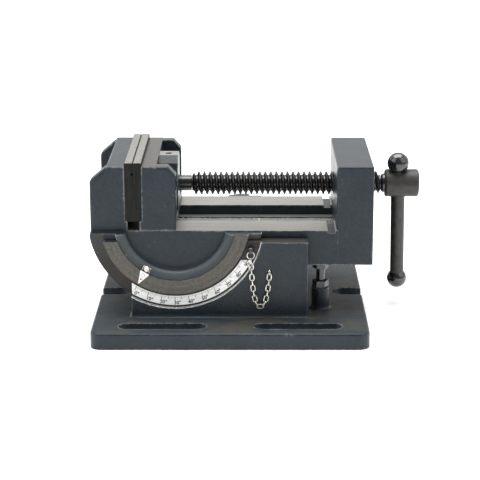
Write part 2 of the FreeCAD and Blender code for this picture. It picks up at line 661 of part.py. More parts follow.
def make_lead_screw():
    blank = turned("lead_blank",
                   [("journal_left", "0"), ("journal_left", "journal_radius - 0.6"),
                    ("journal_left + 0.6", "journal_radius"), ("groove_x - 2", "journal_radius"),
                    ("groove_x - 2", "groove_radius"), ("groove_x + 2", "groove_radius"),
                    ("groove_x + 2", "journal_radius"), ("thread_start - 0.6", "journal_radius"),
                    ("thread_start + 1.4", "thread_radius - 0.6"),
                    ("thread_start + 2.4", "thread_radius"),
                    ("thread_end + 1", "thread_radius"), ("thread_end + 2", "thread_root + 1.2"),
                    ("head_left", "thread_root + 1.2"), ("head_left", "stub_radius"),
                    ("head_right - 3", "stub_radius"), ("head_right - 3", "0")])
    groove_sketch = blank.newObject("Sketcher::SketchObject", "thread_groove_outline")
    plane = [item for item in blank.Origin.OriginFeatures if item.Role == "XY_Plane"][0]
    groove_sketch.AttachmentSupport = [(plane, "")]
    groove_sketch.MapMode = "FlatFace"
    pitch = size("thread_pitch")
    root = size("thread_root")
    crest = size("thread_radius") + 0.4
    middle = size("thread_start") + 0.5 * pitch + 2.0
    floor_half = 0.45
    mouth_half = 1.45
    corners = [Vector(middle - floor_half, root, 0), Vector(middle + floor_half, root, 0),
               Vector(middle + mouth_half, crest, 0), Vector(middle - mouth_half, crest, 0)]
    for number, corner in enumerate(corners):
        groove_sketch.addGeometry(Part.LineSegment(corner, corners[(number + 1) % 4]), False)
    groove = blank.newObject("PartDesign::Groove", "thread_groove")
    groove.Profile = groove_sketch
    groove.ReferenceAxis = (groove_sketch, ["H_Axis"])
    groove.Angle = 360
    turns = int((size("thread_end") - size("thread_start") - 4) / pitch)
    repeat = blank.newObject("PartDesign::LinearPattern", "thread_turns")
    repeat.Originals = [groove]
    repeat.Direction = (groove_sketch, ["H_Axis"])
    repeat.Length = (turns - 1) * pitch
    repeat.Occurrences = turns
    blank.Tip = repeat
    bar_hole = bar_rod("screw_bar_hole", "bar_radius + fit_gap", "-20", "20")
    moved = stood("lead_at_axis", blank, Vector(1, 0, 0), "0", "0", "screw_z")
    named("lead_screw", carved("lead_screw", moved, [bar_hole]))


def bar_axis():
    """The direction of the handle bar, from its lower ball to its upper one."""
    lean = math.radians(size("bar_lean"))
    tilt = math.radians(size("bar_tilt"))
    return Vector(-math.sin(tilt), -math.sin(lean) * math.cos(tilt),
                  math.cos(lean) * math.cos(tilt))


def place_on_bar(thing, distance):
    """Put a thing on the handle bar's axis, at a distance from the screw axis."""
    place(thing, f"bar_x - ({distance}) * sin(bar_tilt * 1deg)",
          f"-({distance}) * sin(bar_lean * 1deg) * cos(bar_tilt * 1deg)",
          f"screw_z + ({distance}) * cos(bar_lean * 1deg) * cos(bar_tilt * 1deg)")


def bar_rod(name, radius, start, end):
    """A cylinder along the handle bar's axis, between two distances from the screw axis."""
    cylinder = doc.addObject("Part::Cylinder", name)
    cylinder.Placement = FreeCAD.Placement(Vector(), FreeCAD.Rotation(Vector(0, 0, 1), bar_axis()))
    bind(cylinder, Radius=radius, Height=f"({end}) - ({start})")
    place_on_bar(cylinder, start)
    return cylinder


def bar_ball(name, radius, distance):
    """A ball centred on the handle bar's axis."""
    ball = doc.addObject("Part::Sphere", name)
    bind(ball, Radius=radius)
    place_on_bar(ball, distance)
    return ball


def make_handle():
    head = turned("head_lathe",
                  [("head_left", "stub_radius"), ("head_left", "head_radius - 1"),
                   ("head_left + 1", "head_radius"), ("head_right - 1.2", "head_radius"),
                   ("head_right", "head_radius - 1.2"), ("head_right", "0"),
                   ("head_right - 3", "0"), ("head_right - 3", "stub_radius")])
    moved = stood("head_at_axis", head, Vector(1, 0, 0), "0", "0", "screw_z")
    cutters = [bar_rod("head_bar_hole", "bar_radius + fit_gap", "-20", "20"),
               bar_ball("head_top_seat", "top_ball_radius + 0.05", "top_ball"),
               bar_ball("head_low_seat", "low_ball_radius + 0.05", "-top_ball + 0.4")]
    named("spindle_head", carved("spindle_head", moved, cutters))
    named("handle_bar", grouped("handle_bar", [bar_rod("bar_stock", "bar_radius",
                                                       "-low_ball", "top_ball")]))
    for node, radius, distance, low, high in (
            ("handle_knob_top", "top_ball_radius", "top_ball", "-20", "top_ball"),
            ("handle_knob_bottom", "low_ball_radius", "-low_ball", "-low_ball", "20")):
        ball = bar_ball(node + "_ball", radius, distance)
        socket = bar_rod(node + "_socket", "bar_radius", low, high)
        named(node, carved(node, ball, [socket]))


# ---- scale, pointer and the small pieces on the base ----

def make_scale():
    low = "-(wall_outer - band_depth + scale_thick)"
    high = "-(wall_outer - band_depth)"
    outer = rod("scale_outer_disc", "scale_outer", "y", low, high, ("0", "0"))
    inner = rod("scale_inner_disc", "scale_inner", "y", f"{low} - 1", f"{high} + 1", ("0", "0"))
    room = box("scale_room", ("wall_left + 0.3", "scale_outer + 5"), (f"{low} - 2", f"{high} + 2"),
               ("-scale_outer - 5", "scale_top"))
    named("angle_scale", shared("angle_scale", carved("scale_ring", outer, [inner]), room))


def make_pointer():
    """A triangular leaf on the bearing ring, with a tab bent down onto the painted lip."""
    turn = FreeCAD.Rotation(Vector(0, 1, 0), -size("pointer_angle"))

    def turned_piece(name, thing):
        holder = grouped(name, [thing])
        holder.Placement = FreeCAD.Placement(Vector(), turn)
        return holder

    leaf = prism("pointer_leaf", "XZ_Plane",
                 [("-3.5", "-41.6"), ("3.5", "-41.6"), ("0.3", "-50.6"), ("-0.3", "-50.6")],
                 "-ring_face - 0.8", "-ring_face")
    drop = prism("pointer_drop", "XZ_Plane",
                 [("-3.2", "-42.1"), ("3.2", "-42.1"), ("3.2", "-41.4"), ("-3.2", "-41.4")],
                 "-ring_face - 0.8", "-lip_face")
    tab = prism("pointer_tab", "XZ_Plane",
                [("-3.0", "-42.1"), ("3.0", "-42.1"), ("3.0", "-37.4"), ("-3.0", "-37.4")],
                "-lip_face - 0.8", "-lip_face")
    hole = rod("pointer_hole", 1.1, "y", "-ring_face - 2", "-lip_face + 1", ("0", "-pointer_screw_radius"))
    flat = carved("pointer_flat", joined("pointer_joined", [leaf, drop, tab]), [hole])
    named("angle_pointer", grouped("angle_pointer", [turned_piece("pointer_turned", flat)]))
    lathe = turned("pointer_screw_lathe",
                   [("0", "0"), ("0", "1.6"), ("0.5", "2"), ("1.3", "2"), ("1.3", "1"),
                    ("5.3", "1"), ("5.3", "0")])
    slot = box("pointer_screw_slot", ("-1", "0.5"), (-3, 3), (-0.25, 0.25))
    screw = stood("pointer_screw_stood", carved("pointer_screw_cut", lathe, [slot]),
                  Vector(0, 1, 0), "0", "-lip_face - 2.1", "-pointer_screw_radius")
    named("pointer_screw", grouped("pointer_screw", [turned_piece("pointer_screw_turned", screw)]))


def hexagon(name, across_flats, low, high):
    """A hexagonal prism about the Z axis."""
    corner = across_flats / math.sqrt(3)
    points = []
    for turn in range(6):
        angle = math.radians(60 * turn)
        points.append((f"{corner * math.cos(angle):.4f}", f"{corner * math.sin(angle) + 0.0001:.4f}"))
    return prism(name, "XY_Plane", points, low, high)


def hexagon_rounded(name, across_flats, low, high):
    """A hexagon with its corners turned off, as on a nut or bolt head."""
    corner = across_flats / math.sqrt(3)
    lathe = turned(name + "_turned", [(low, "0"), (low, f"{corner - 0.6:.3f}"),
                                      (f"{low} + 0.4", f"{corner:.3f}"),
                                      (f"{high} - 0.4", f"{corner:.3f}"),
                                      (high, f"{corner - 0.6:.3f}"), (high, "0")])
    stood_lathe = stood(name + "_stood", lathe, Vector(0, 0, 1), "0", "0", "0")
    return shared(name + "_hex", hexagon(name + "_prism", across_flats, low, high), stood_lathe)


def make_stop():
    top = "beam_bottom - stop_gap"
    head = hexagon_rounded("stop_head", 10.0, f"{top} - 4", top)
    shank = turned("stop_shank", [("-70", "0"), ("-70", "2.3"), ("-69.3", "3"),
                                  (f"{top} - 3.9", "3"), (f"{top} - 3.9", "0")])
    upright = stood("stop_shank_stood", shank, Vector(0, 0, 1), "0", "0", "0")
    screw = joined("stop_screw", [head, upright])
    screw.Label = "stop_screw"
    place(screw, "tilt_x + stop_x", "stop_y", "tilt_height")
    FINISHED.append(screw)
    seat = "-tilt_height + plate_thick + boss_height"
    nut = hexagon_rounded("stop_nut_body", 10.0, seat, f"{seat} + 5")
    thread = rod("stop_nut_thread", "3 + fit_gap", "z", f"{seat} - 1", f"{seat} + 6", ("0", "0"))
    nut = carved("stop_lock_nut", nut, [thread])
    nut.Label = "stop_lock_nut"
    place(nut, "tilt_x + stop_x", "stop_y", "tilt_height")
    FINISHED.append(nut)


def make_tilt_lock():
    """A hexagon bolt in the rear wall that presses on the rear web."""
    tip = size("web_face") + size("run_gap")
    seat = size("wall_outer")
    shank = turned("lock_shank", [("0", "0"), ("0", "2.4"), ("0.6", "3"), (f"{seat - tip + 2}", "3"),
                                  (f"{seat - tip + 2}", "0")])
    upright = stood("lock_shank_stood", shank, Vector(0, 0, 1), "0", "0", "0")
    head = hexagon_rounded("lock_head", 10.0, f"{seat - tip + 1.2}", f"{seat - tip + 5.2}")
    bolt = joined("lock_pieces", [head, upright])
    lock_x, lock_z = polar("(ring_radius + web_radius) / 2", "lock_angle")
    turned_bolt = grouped("lock_turned", [bolt])
    turned_bolt.Placement = FreeCAD.Placement(
        Vector(), FreeCAD.Rotation(Vector(0, 0, 1), Vector(0, 1, 0)))
    place(turned_bolt, lock_x, "web_face + run_gap", lock_z)
    named("tilt_lock_bolt", grouped("tilt_lock_bolt", [turned_bolt]))


def make_index_pin():
    pin_x, pin_z = polar("pin_ring_radius", "pin_angle")
    lathe = turned("pin_lathe", [("0", "0"), ("0", "pin_radius - 0.8"), ("0.8", "pin_radius"),
                                 ("9.2", "pin_radius"), ("9.8", "pin_end_radius"),
                                 ("13.5", "pin_end_radius"), ("14", "pin_end_radius - 0.5"),
                                 ("14", "0")])
    pin = stood("pin_stood", lathe, Vector(0, -1, 0), pin_x, "-web_face - run_gap - 0.2", pin_z)
    eye_y = "-web_face - run_gap - 0.2 - 11.6"
    hole = rod("pin_cross_hole", "2 * pin_ring_wire", "x", f"{pin_x} - 4", f"{pin_x} + 4",
               (eye_y, f"{pin_z} - pin_eye"))
    named("index_pin", carved("index_pin", pin, [hole]))
    ring = doc.addObject("Part::Torus", "pin_ring_torus")
    bind(ring, Radius1="pin_ring_bend", Radius2="pin_ring_wire")
    ring.Placement = FreeCAD.Placement(Vector(), FreeCAD.Rotation(Vector(0, 0, 1), Vector(0, 1, 0)))
    place(ring, pin_x, eye_y, f"{pin_z} - pin_eye - pin_ring_bend")
    named("pin_ring", grouped("pin_ring", [ring]))


def make_chain_eye():
    shank = rod("eye_shank", 0.95, "y", "-wall_outer - 0.6", "-wall_outer + 5", ("eye_x", "eye_z"))
    ring = doc.addObject("Part::Torus", "eye_torus")
    ring.Radius1 = 1.9
    ring.Radius2 = 0.55
    ring.Placement = FreeCAD.Placement(Vector(), FreeCAD.Rotation(Vector(0, 0, 1), Vector(1, 0, 0)))
    place(ring, "eye_x", "-wall_outer - 2.4", "eye_z")
    named("chain_eye", joined("chain_eye", [shank, ring]))


def hanging_curve(run, rise, length, count):
    """Points, evenly spaced along a hanging chain, from (0, 0) to (run, rise)."""
    low, high = 0.05, 200.0
    for attempt in range(80):
        curve = (low + high) / 2
        spread = 2 * curve * math.sinh(min(run / (2 * curve), 500))
        if spread > math.sqrt(length ** 2 - rise ** 2):
            low = curve
        else:
            high = curve
    middle = run / 2 - curve * math.atanh(rise / length)
    start = curve * math.sinh(-middle / curve)
    base = curve * math.cosh(-middle / curve)
    points = []
    for number in range(count + 1):
        along = curve * math.asinh((start + length * number / count) / curve)
        points.append((along + middle, curve * math.cosh(along / curve) - base))
    return points


def chain_link(middle, direction, flat):
    """One welded link: a round wire bent into an oval about the direction of the chain."""
    wire_radius = 0.45
    bend = 1.4
    straight = 1.06
    side = flat.cross(direction).normalize()
    corners = [middle + direction * (along * straight) + side * (out * bend)
               for along, out in ((-1, 1), (1, 1), (1, -1), (-1, -1))]
    tips = [middle + direction * (sign * (straight + bend)) for sign in (1, -1)]
    path = Part.Wire([Part.LineSegment(corners[0], corners[1]).toShape(),
                      Part.Arc(corners[1], tips[0], corners[2]).toShape(),
                      Part.LineSegment(corners[2], corners[3]).toShape(),
                      Part.Arc(corners[3], tips[1], corners[0]).toShape()])
    section = Part.Wire([Part.Circle(corners[0], direction, wire_radius).toShape()])
    return path.makePipeShell([section], True, True)


def make_chain():
    radius = size("pin_ring_radius")
    angle = math.radians(size("pin_angle"))
    start = Vector(radius * math.sin(angle), -size("web_face") - size("run_gap") - 11.8,
                   -radius * math.cos(angle) - 4.8)
    end = Vector(size("eye_x"), -size("wall_outer") - 2.4, size("eye_z") - 1.4)
    links = 16
    pitch = 3.94
    run = end.x - start.x
    curve = hanging_curve(run, end.z - start.z, links * pitch, links)
    points = [Vector(start.x + x, start.y + (end.y - start.y) * x / run, start.z + z)
              for x, z in curve]
    outward = Vector(0, -1, 0)
    solids = []
    for number, (first, second) in enumerate(zip(points, points[1:])):
        direction = (second - first).normalize()
        quarter = 0 if number % 2 else 90
        flat = FreeCAD.Rotation(direction, quarter).multVec(outward)
        solids.append(chain_link((first + second) * 0.5, direction, flat))
    chain = doc.addObject("Part::Feature", "retaining_chain")
    chain.Shape = Part.makeCompound(solids)
    named("retaining_chain", chain)


def check_and_export():
    doc.recompute()
    for thing in doc.Objects:
        if "Invalid" in thing.State or "Error" in thing.State:
            raise RuntimeError(f"{thing.Name} failed: {thing.State}")
    os.makedirs("parts", exist_ok=True)
    for thing in FINISHED:
        shape = thing.Shape
        if shape.isNull() or not shape.isValid() or not shape.Solids:
            raise RuntimeError(f"{thing.Label} has no valid solid")
        shape.exportStep(f"parts/{thing.Label}.step")
        print(f"{thing.Label:22s} {len(shape.Solids):3d} solids {shape.Volume / 1000:9.2f} cm3")


make_base()
make_vise_body()
make_plates()
make_plate_screws()
make_moving_jaw()
make_keeper()
make_lead_screw()
make_handle()
make_scale()
make_pointer()
make_stop()
make_tilt_lock()
make_index_pin()
make_chain_eye()
make_chain()
check_and_export()
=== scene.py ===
import math
from types import SimpleNamespace

import bmesh
import bpy
from mathutils import Matrix, Vector


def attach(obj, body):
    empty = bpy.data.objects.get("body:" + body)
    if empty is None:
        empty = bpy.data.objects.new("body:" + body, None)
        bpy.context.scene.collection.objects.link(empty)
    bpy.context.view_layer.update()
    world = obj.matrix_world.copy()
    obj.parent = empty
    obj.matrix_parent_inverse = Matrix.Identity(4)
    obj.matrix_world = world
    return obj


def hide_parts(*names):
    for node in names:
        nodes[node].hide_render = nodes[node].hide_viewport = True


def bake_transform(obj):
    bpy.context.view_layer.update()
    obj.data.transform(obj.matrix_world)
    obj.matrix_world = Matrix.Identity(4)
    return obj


# Looks for a tilting machine vise. Lengths are in metres in the row frame; names ending in
# _MM are millimetres from the tilt centre, the point that the vise body rocks about.

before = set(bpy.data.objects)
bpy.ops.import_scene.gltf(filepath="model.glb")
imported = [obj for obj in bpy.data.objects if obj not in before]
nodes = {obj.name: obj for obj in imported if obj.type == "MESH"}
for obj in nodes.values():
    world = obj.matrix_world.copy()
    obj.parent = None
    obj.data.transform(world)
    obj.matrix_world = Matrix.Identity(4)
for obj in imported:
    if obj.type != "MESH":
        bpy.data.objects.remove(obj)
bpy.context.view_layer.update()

MM = 0.001
TILT_CENTRE = Vector((-38.3, 0.0, 79.6)) * MM

# ---- places that more than one finish or piece needs, in millimetres ----

RAIL_TOP_MM = -8.5
RAIL_START_MM = -34.0
RAIL_INNER_MM = 22.8
CHANNEL_SHELF_MM = -15.7
CHANNEL_FLOOR_MM = -16.9
LEDGE_MM = -9.3
RING_OUTER_MM = 51.9
LIP_MIDDLE_MM = 39.2
JAW_HALF_MM = 50.8
RING_INNER_MM = 42.2
RING_FACE_MM = 61.8
WEB_RADIUS_MM = 60.9
WEB_FACE_MM = 56.5
WALL_TOP_MM = -13.8
BAND_RADIUS_MM = 61.3
BAND_FACE_MM = 60.8
UNDERSIDE_MM = -79.6
JAW_TOP_MM = 36.9
BOSS_TOP_MM = 35.8
PLATE_TOP_MM = 39.6
SCREW_AXIS_MM = 13.8
SCALE_FACE_MM = -61.3
SCALE_INNER_MM = 53.0
SCALE_ZERO_DEGREES = -30.5
POINTER_DEGREES = -30.8
POINTER_FACE_MM = -62.6
# how far from its nominal place a face still counts as that face
FACE_REACH_MM = 0.3


# ---- shader building ----

class Wire:
    """One output in a shader. Arithmetic on wires adds Math nodes to the same shader."""

    def __init__(self, tree, socket=None):
        self.tree = tree
        self.socket = socket

    def node(self, kind, settings, inputs, out=0):
        """Add a node: its settings come first, then its inputs get values or links."""
        made = self.tree.nodes.new(kind)
        for name, value in settings.items():
            setattr(made, name, value)
        for name, value in inputs.items():
            if isinstance(value, Wire):
                self.tree.links.new(value.socket, made.inputs[name])
            else:
                made.inputs[name].default_value = value
        return Wire(self.tree, None if out is None else made.outputs[out])

    def maths(self, operation, first, second=0.0, clamp=False):
        settings = {"operation": operation, "use_clamp": clamp}
        return self.node("ShaderNodeMath", settings, {0: first, 1: second})

    def __add__(self, other):
        return self.maths("ADD", self, other)

    __radd__ = __add__

    def __sub__(self, other):
        return self.maths("SUBTRACT", self, other)

    def __rsub__(self, other):
        return self.maths("SUBTRACT", other, self)

    def __mul__(self, other):
        return self.maths("MULTIPLY", self, other)

    __rmul__ = __mul__

    def __abs__(self):
        return self.maths("ABSOLUTE", self)

    def __neg__(self):
        return self.maths("MULTIPLY", self, -1.0)

    def above(self, low, high):
        """0 below low, 1 above high, smooth between."""
        return self.node("ShaderNodeMapRange", {"interpolation_type": "SMOOTHSTEP"},
                         {"Value": self, "From Min": low, "From Max": high})

    def near(self, target, reach):
        """1 within about reach of target, 0 away from it."""
        return 1.0 - abs(self - target).above(reach * 0.8, reach)

    def mixed(self, first, second):
        """The colour first where this mask is 0 and second where it is 1."""
        return self.node("ShaderNodeMix", {"data_type": "RGBA"}, {0: self, 6: first, 7: second}, 2)

    def stretched(self, x, y, z):
        """This point with its coordinates multiplied, for a grain that runs one way."""
        return self.node("ShaderNodeVectorMath", {"operation": "MULTIPLY"}, {0: self, 1: (x, y, z)})

    def noise(self, scale, detail=2.0, roughness=0.5):
        """Cloudy noise at this point; scale is in lumps per metre."""
        return self.node("ShaderNodeTexNoise", {},
                         {"Vector": self, "Scale": scale, "Detail": detail,
                          "Roughness": roughness})

    def specks(self, scale):
        """Distance to scattered points, for small round marks."""
        return self.node("ShaderNodeTexVoronoi", {}, {"Vector": self, "Scale": scale})


def rgb(red, green, blue):
    return red, green, blue, 1.0


def spot_of(shader):
    """Where a point of the surface is and which way it faces, on its own piece at rest."""
    point = shader.node("ShaderNodeTexCoord", {}, {}, "Object")
    facing = shader.node("ShaderNodeTexCoord", {}, {}, "Normal")
    place = [shader.node("ShaderNodeSeparateXYZ", {}, {"Vector": point}, axis) for axis in "XYZ"]
    way = [shader.node("ShaderNodeSeparateXYZ", {}, {"Vector": facing}, axis) for axis in "XYZ"]
    x = (place[0] - TILT_CENTRE.x) * (1 / MM)
    y = place[1] * (1 / MM)
    z = (place[2] - TILT_CENTRE.z) * (1 / MM)
    radius = shader.maths("SQRT", x * x + z * z)
    return SimpleNamespace(point=point, x=x, y=y, z=z, side=abs(y), radius=radius,
                           up=way[2].above(0.8, 0.95), down=(-way[2]).above(0.8, 0.95),
                           sideways=abs(way[1]).above(0.8, 0.95), right=way[0].above(0.8, 0.95))


def soft_edges(shader, radius, reach):
    """The surface's direction with its edges rounded by radius, and how near a corner is.

    The second wire is 0 on flat ground and rises to about 1 within reach of an outer corner."""
    rounded = shader.node("ShaderNodeBevel", {"samples": 4}, {"Radius": radius})
    inward = shader.node("ShaderNodeAmbientOcclusion",
                         {"samples": 6, "inside": True, "only_local": True},
                         {"Distance": reach}, "AO")
    return rounded, 1.0 - inward


def relief(shader, strength, depth_mm, height, normal=None):
    """The surface's direction once a height map of a depth in millimetres is pressed into it."""
    inputs = {"Strength": strength, "Distance": depth_mm * MM, "Height": height}
    if normal is not None:
        inputs["Normal"] = normal
    return shader.node("ShaderNodeBump", {}, inputs)


def material(name, recipe):
    """A node material; recipe gives the Principled shader's sockets from an empty shader."""
    made = bpy.data.materials.new(name)
    made.use_nodes = True
    made.node_tree.nodes.clear()
    shader = Wire(made.node_tree)
    surface = shader.node("ShaderNodeBsdfPrincipled", {}, recipe(shader))
    shader.node("ShaderNodeOutputMaterial", {}, {"Surface": surface}, None)
    return made


# ---- finishes ----

PAINT_DARK = rgb(0.0120, 0.0185, 0.0250)
PAINT_LIGHT = rgb(0.0200, 0.0285, 0.0355)
# pale worn paint, also used as a painted highlight on edges and on the dish lip
PAINT_WEAR_AND_HIGHLIGHT = rgb(0.30, 0.32, 0.32)
DUST = rgb(0.044, 0.043, 0.034)
GROUND_PALE = rgb(0.37, 0.36, 0.33)
GROUND_SHADE = rgb(0.20, 0.195, 0.18)
# near-white cut metal: a painted highlight on smooth cut faces that catch the light
POLISH_HIGHLIGHT_PALE = rgb(0.86, 0.86, 0.84)
TURNED_PALE = rgb(0.108, 0.102, 0.090)
TURNED_SHADE = rgb(0.058, 0.055, 0.049)
# dark brown cut metal: the cut steel's own brown, darkened as painted shade on recessed faces
BROWN_CUT_AND_SHADE = rgb(0.021, 0.019, 0.017)


def cast_iron(name, cuts, dustiness):
    """Painted cast iron.

    cuts(spot) gives the masks of its pale and dull cut faces, of cut faces painted dark brown
    (their own brown plus painted shade), of cut faces painted near white (lower roughness plus a
    painted highlight), and of paint made paler as a painted highlight. dustiness is how much of its
    upward paint has gone dull."""

    def recipe(shader):
        spot = spot_of(shader)
        pale, dull, brown_and_shade, polish_and_highlight, lip_highlight = cuts(spot)
        bare = shader.maths("MAXIMUM", shader.maths("MAXIMUM", pale, dull), brown_and_shade)
        rounded, edge = soft_edges(shader, 0.7 * MM, 1.4 * MM)
        cloudy = spot.point.noise(55, 3)
        wavy = spot.point.noise(170, 3)
        lumpy = spot.point.noise(520, 3)
        grainy = spot.point.noise(1300, 3, 0.6)
        mottle = cloudy * 0.3 + lumpy * 0.3 + grainy * 0.4
        paint = mottle.above(0.36, 0.64).mixed(PAINT_DARK, PAINT_LIGHT)
        dusty = spot.up * spot.point.noise(38, 4, 0.6).above(0.42, 0.70) * dustiness
        paint = dusty.mixed(paint, DUST)
        # paint made paler near outer edges: partly real wear, partly a painted highlight where
        # edges catch the light
        edge_wear_and_highlight = (edge * 1.5 + lumpy * 1.0 + wavy * 1.0 + cloudy * 0.8).above(1.75, 2.25) * 0.75
        chip = (1.0 - spot.point.specks(48).above(0.020, 0.034)) * cloudy.above(0.50, 0.56)
        # a painted highlight: the dish lip's paint made a little paler where its rounded edge
        # catches the light
        paint = (lip_highlight * 0.14).mixed(paint, PAINT_WEAR_AND_HIGHLIGHT)
        paint = shader.maths("MAXIMUM", edge_wear_and_highlight, chip * 0.8).mixed(paint, PAINT_WEAR_AND_HIGHLIGHT)
        lengthwise = spot.point.stretched(30, 2600, 2600).noise(1, 2)
        pale_metal = lengthwise.above(0.3, 0.7).mixed(GROUND_SHADE, GROUND_PALE)
        around = shader.node("ShaderNodeCombineXYZ", {}, {"X": spot.radius, "Y": spot.y})
        rings = around.noise(2.4, 3)
        turned = rings * 0.4 + lumpy * 0.3 + grainy * 0.3
        turned_metal = turned.above(0.36, 0.64).mixed(TURNED_SHADE, TURNED_PALE)
        metal = pale.mixed(turned_metal, pale_metal)
        # recessed cut faces painted dark brown: their own brown plus painted shade
        metal = (brown_and_shade * 0.85).mixed(metal, BROWN_CUT_AND_SHADE)
        # smooth cut faces painted near white: lower roughness for their polish, the colour a
        # painted highlight
        metal = polish_and_highlight.mixed(metal, POLISH_HIGHLIGHT_PALE)
        colour = bare.mixed(paint, metal)
        painted_roughness = 0.25 + cloudy * 0.14 + spot.up * dustiness * 0.26
        bare_roughness = 0.28 + grainy * 0.16 - polish_and_highlight * 0.22
        roughness = bare.node("ShaderNodeMix", {"data_type": "FLOAT"},
                              {0: bare, 2: painted_roughness, 3: bare_roughness})
        lumps = (grainy * 0.16 + lumpy * 0.30 + wavy * 0.30) * (1.0 - bare)
        facing = relief(shader, 0.9, 0.6, lumps + lengthwise * pale * 0.02, rounded)
        return {"Base Color": colour, "Metallic": bare * 0.75 - brown_and_shade * 0.5,
                "Roughness": roughness, "Normal": facing, "Specular IOR Level": 0.26}

    return material(name, recipe)


def vise_cuts(spot):
    rails = spot.up * spot.z.near(RAIL_TOP_MM, FACE_REACH_MM)
    rails = rails * spot.side.above(RAIL_INNER_MM - 1, RAIL_INNER_MM)
    rails = rails * spot.x.above(RAIL_START_MM, RAIL_START_MM + 0.5)
    in_channel = spot.up * (1.0 - spot.side.above(RAIL_INNER_MM, RAIL_INNER_MM + 0.2))
    shelf = in_channel * spot.z.near(CHANNEL_SHELF_MM, 0.4)
    # the channel floor, later also painted near white as a painted highlight of its bright band
    floor = in_channel * spot.z.near(CHANNEL_FLOOR_MM, 0.4)
    below = 1.0 - spot.z.above(LEDGE_MM - 0.5, LEDGE_MM - 0.1)
    ring = spot.sideways * spot.side.near(RING_FACE_MM, 0.4)
    ring = ring * spot.radius.above(RING_INNER_MM - 0.3, RING_INNER_MM - 0.1)
    outside_web = spot.side.above(WEB_FACE_MM, WEB_FACE_MM + 0.1)
    ring_rim = spot.radius.near(RING_OUTER_MM, FACE_REACH_MM) * outside_web
    web = spot.sideways * spot.side.near(WEB_FACE_MM, FACE_REACH_MM)
    web = web * spot.radius.above(RING_OUTER_MM - 0.2, RING_OUTER_MM) * below
    web_rim = spot.radius.near(WEB_RADIUS_MM, 0.4) * below * (1.0 - outside_web)
    # painted shade: the web is painted darker towards the bottom, where the cradle wall shades it
    shade_towards_bottom = 1.0 - spot.z.above(-34, -12) * 0.35
    # the dish lip, painted paler as a painted highlight on its lit rounded edge
    lip = spot.radius.near(LIP_MIDDLE_MM, 3.4) * spot.side.above(JAW_HALF_MM - 1, JAW_HALF_MM + 4)
    return (rails + shelf + floor, ring + ring_rim, (web + web_rim) * shade_towards_bottom, floor,
            lip * below * (1.0 - ring))


def base_cuts(spot):
    wall_top = spot.up * spot.z.near(WALL_TOP_MM, FACE_REACH_MM)
    # the step round the scale's recess, its bright line painted in as a painted highlight
    step = spot.radius.near(BAND_RADIUS_MM, 0.2) * spot.side.above(BAND_FACE_MM - 0.1, BAND_FACE_MM)
    floor = spot.sideways * spot.side.near(BAND_FACE_MM, FACE_REACH_MM)
    floor = floor * (1.0 - spot.radius.above(BAND_RADIUS_MM, BAND_RADIUS_MM + 0.2))
    # the band floor and the cradle's cut arcs are painted dark brown, partly as painted shade
    cradle = spot.radius.near(RING_OUTER_MM + 0.3, 0.2) + spot.radius.near(WEB_RADIUS_MM + 0.3, 0.1)
    foot = spot.down * spot.z.near(UNDERSIDE_MM, FACE_REACH_MM)
    return step, wall_top + foot, floor + cradle * (1.0 - step), step, step * 0.0


def moving_jaw_cuts(spot):
    top = spot.up * spot.z.near(JAW_TOP_MM, FACE_REACH_MM)
    boss_top = spot.up * spot.z.near(BOSS_TOP_MM, FACE_REACH_MM)
    foot = spot.down * (1.0 - spot.z.above(RAIL_TOP_MM + 0.2, RAIL_TOP_MM + 1.2))
    none = top * 0.0
    return boss_top + foot, top, none, none, none


def jaw_plate_recipe(shader):
    spot = spot_of(shader)
    rounded, edge = soft_edges(shader, 0.3 * MM, 0.6 * MM)
    ground = spot.up * spot.z.above(PLATE_TOP_MM - 0.6, PLATE_TOP_MM - 0.3)
    across = spot.point.stretched(2200, 160, 160).noise(1, 3)
    upright = spot.point.stretched(900, 900, 60).noise(1, 3)
    blotch = spot.point.noise(160, 3)
    pale = across.above(0.3, 0.7).mixed(rgb(0.21, 0.207, 0.19), rgb(0.31, 0.305, 0.285))
    black = (upright * 0.6 + blotch * 0.4).above(0.35, 0.65).mixed(rgb(0.005, 0.005, 0.005),
                                                                   rgb(0.014, 0.0135, 0.013))
    worn = edge.above(0.4, 0.8) * 0.5
    colour = ground.mixed(worn.mixed(black, rgb(0.16, 0.15, 0.14)), pale)
    facing = relief(shader, 0.5, 0.05, upright + across, rounded)
    return {"Base Color": colour, "Metallic": 0.10 + ground * 0.75,
            "Roughness": 0.40 + blotch * 0.14, "Normal": facing, "Specular IOR Level": 0.18}


def black_oxide_recipe(shader):
    spot = spot_of(shader)
    rounded, edge = soft_edges(shader, 0.2 * MM, 0.5 * MM)
    blotch = spot.point.noise(300, 3)
    fine = spot.point.noise(2500, 2)
    black = blotch.above(0.35, 0.65).mixed(rgb(0.008, 0.008, 0.008), rgb(0.018, 0.017, 0.016))
    colour = (edge.above(0.4, 0.9) * 0.4).mixed(black, rgb(0.10, 0.095, 0.09))
    facing = relief(shader, 0.3, 0.03, fine, rounded)
    return {"Base Color": colour, "Metallic": 0.25, "Roughness": 0.15 + blotch * 0.14,
            "Normal": facing, "Specular IOR Level": 0.9}


def dark_steel_recipe(shader):
    spot = spot_of(shader)
    rounded, edge = soft_edges(shader, 0.4 * MM, 0.8 * MM)
    blotch = spot.point.noise(220, 4, 0.6)
    fine = spot.point.noise(2600, 3)
    steel = (blotch * 0.6 + fine * 0.4).above(0.35, 0.65).mixed(rgb(0.030, 0.029, 0.028),
                                                               rgb(0.052, 0.050, 0.047))
    colour = (edge.above(0.4, 0.9) * 0.5).mixed(steel, rgb(0.15, 0.145, 0.135))
    facing = relief(shader, 0.4, 0.04, fine, rounded)
    return {"Base Color": colour, "Metallic": 0.4, "Roughness": 0.42 + blotch * 0.12,
            "Normal": facing}


